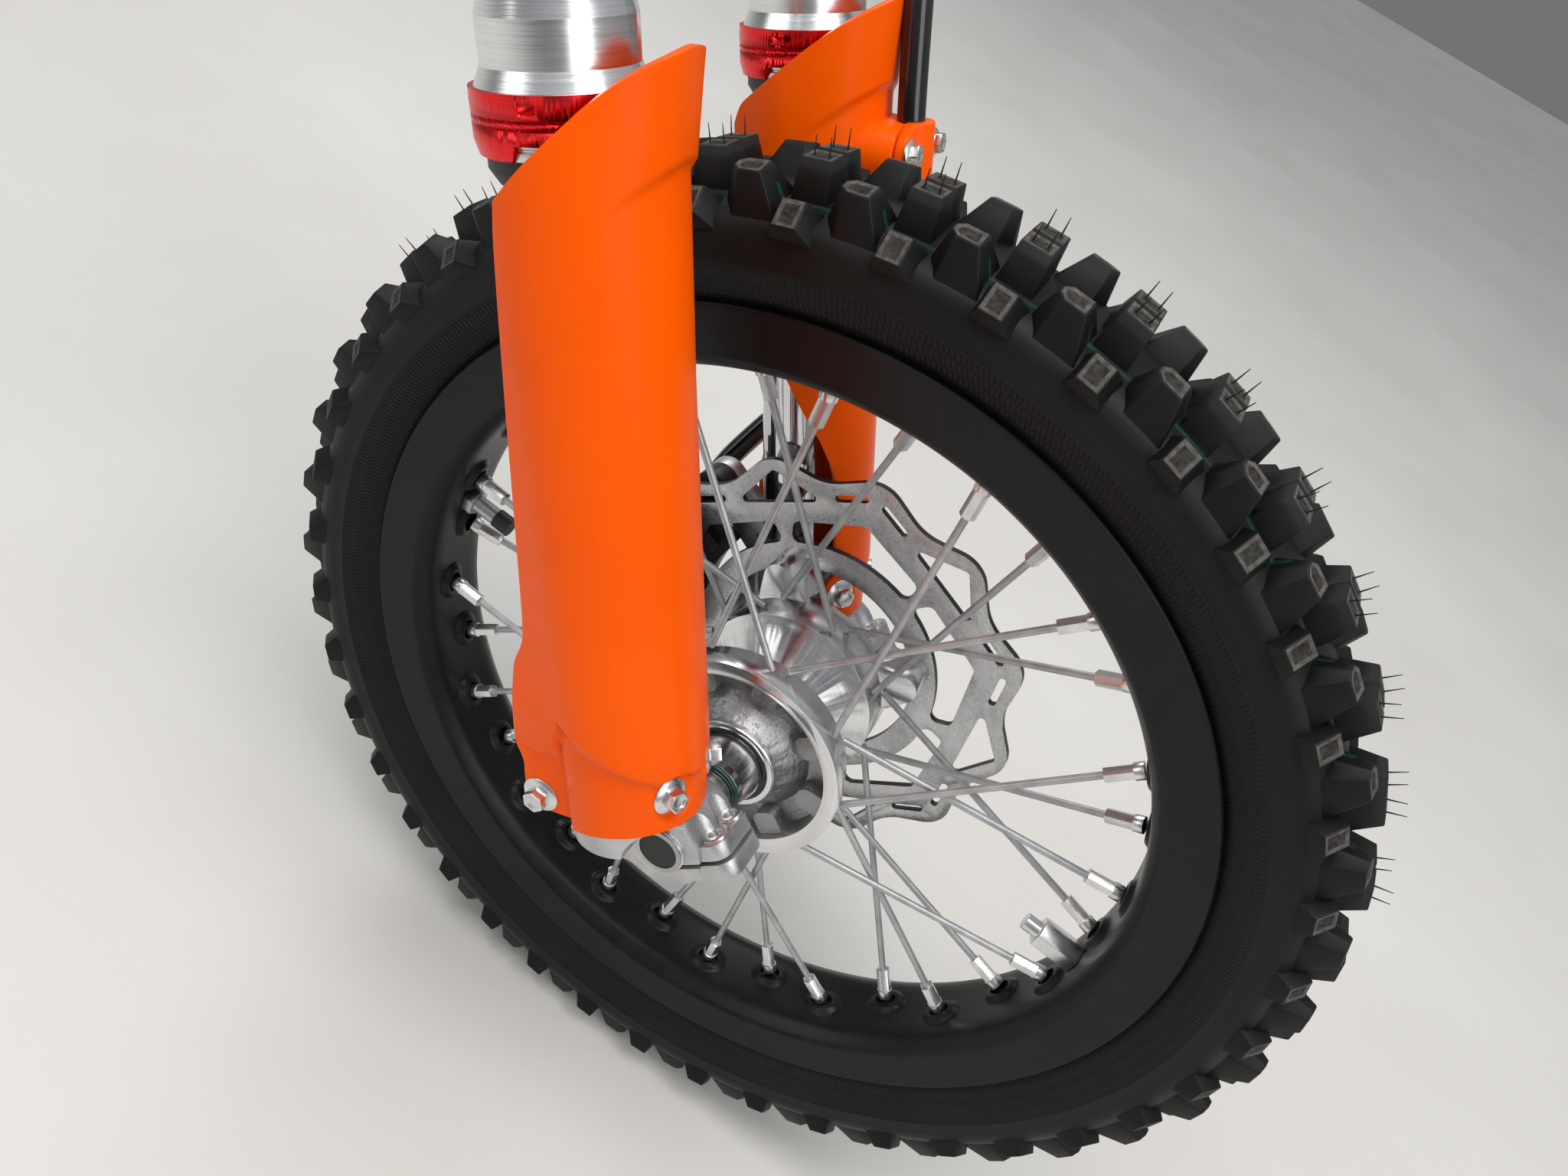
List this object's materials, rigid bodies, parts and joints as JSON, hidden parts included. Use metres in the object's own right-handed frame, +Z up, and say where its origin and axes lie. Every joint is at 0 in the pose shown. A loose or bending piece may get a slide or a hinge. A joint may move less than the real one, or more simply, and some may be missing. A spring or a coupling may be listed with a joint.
{
  "type": "motocross front fork and wheel",
  "caption": "Upside-down motocross fork with steering clamps, orange guards, disc brake and a knobbed wire-spoked wheel that turns and steers.",
  "frame": {"origin": "on the steering axis, in the middle of the lower steering bearing", "axes": "+X forward, +Y to the rider's left, where the brake disc is, +Z up with the bike level"},
  "size_m": [0.5802, 0.2369, 0.8919],
  "materials": {
    "caliper_black": "black anodised casting",
    "cast_aluminium": "satin casting",
    "chrome_tube": "hard chromed",
    "clamp_black": "black anodised casting",
    "disc_steel": "ground stainless steel",
    "guard_plastic": "orange moulded plastic, satin to gloss",
    "hard_steel": "machined steel",
    "hose_rubber": "glossy black sleeve",
    "hub_aluminium": "polished and cast aluminium",
    "nipple_steel": "plated nipples",
    "pad_lining": "brake lining",
    "red_anodised": "red anodised",
    "rim_black": "satin black anodised",
    "seal_rubber": "black rubber",
    "spoke_steel": "galvanised wire",
    "turned_aluminium": "turned and clear anodised",
    "tyre_rubber": "black rubber with knobs",
    "zinc_steel": "zinc plated"
  },
  "bodies": {
    "steering_head": {"lower_bearing_race": "hard_steel", "upper_bearing_race": "hard_steel"},
    "fork": {"axle": "hard_steel", "axle_lug_left": "cast_aluminium", "axle_lug_right": "cast_aluminium", "axle_plugs": "seal_rubber", "brake_hose": "hose_rubber", "brake_pads": "pad_lining", "caliper": "caliper_black", "collar_left": "red_anodised", "collar_right": "red_anodised", "fork_cap_left": "red_anodised", "fork_cap_right": "red_anodised", "guard_left": "guard_plastic", "guard_right": "guard_plastic", "hose_clamp": "guard_plastic", "hose_ends": "zinc_steel", "hose_guides": "clamp_black", "inner_tube_left": "chrome_tube", "inner_tube_right": "chrome_tube", "lower_bearing_cone": "hard_steel", "lower_clamp": "clamp_black", "outer_tube_left": "turned_aluminium", "outer_tube_right": "turned_aluminium", "spacer_left": "turned_aluminium", "spacer_right": "turned_aluminium", "stem": "hard_steel", "stem_nut": "hard_steel", "upper_bearing_cone": "hard_steel", "upper_clamp": "clamp_black", "wiper_left": "seal_rubber", "wiper_right": "seal_rubber"},
    "wheel": {"tyre": "tyre_rubber", "rim": "rim_black", "hub": "hub_aluminium", "hub_seals": "seal_rubber", "spokes_right": "spoke_steel", "spokes_left": "spoke_steel", "nipples": "nipple_steel", "brake_disc": "disc_steel", "valve": "hard_steel", "valve_cap": "seal_rubber", "rim_lock": "zinc_steel"}
  },
  "joints": [
    {"name": "steering", "type": "hinge", "parent": "steering_head", "child": "fork", "pos_m": [0, 0, 0], "axis": [-0.4384, 0, 0.8988], "range_deg": [-45, 45]},
    {"name": "front_wheel_spin", "type": "hinge", "parent": "fork", "child": "wheel", "pos_m": [0.25954, 0, -0.43861], "axis": [0, 1, 0], "continuous": true}
  ]
}
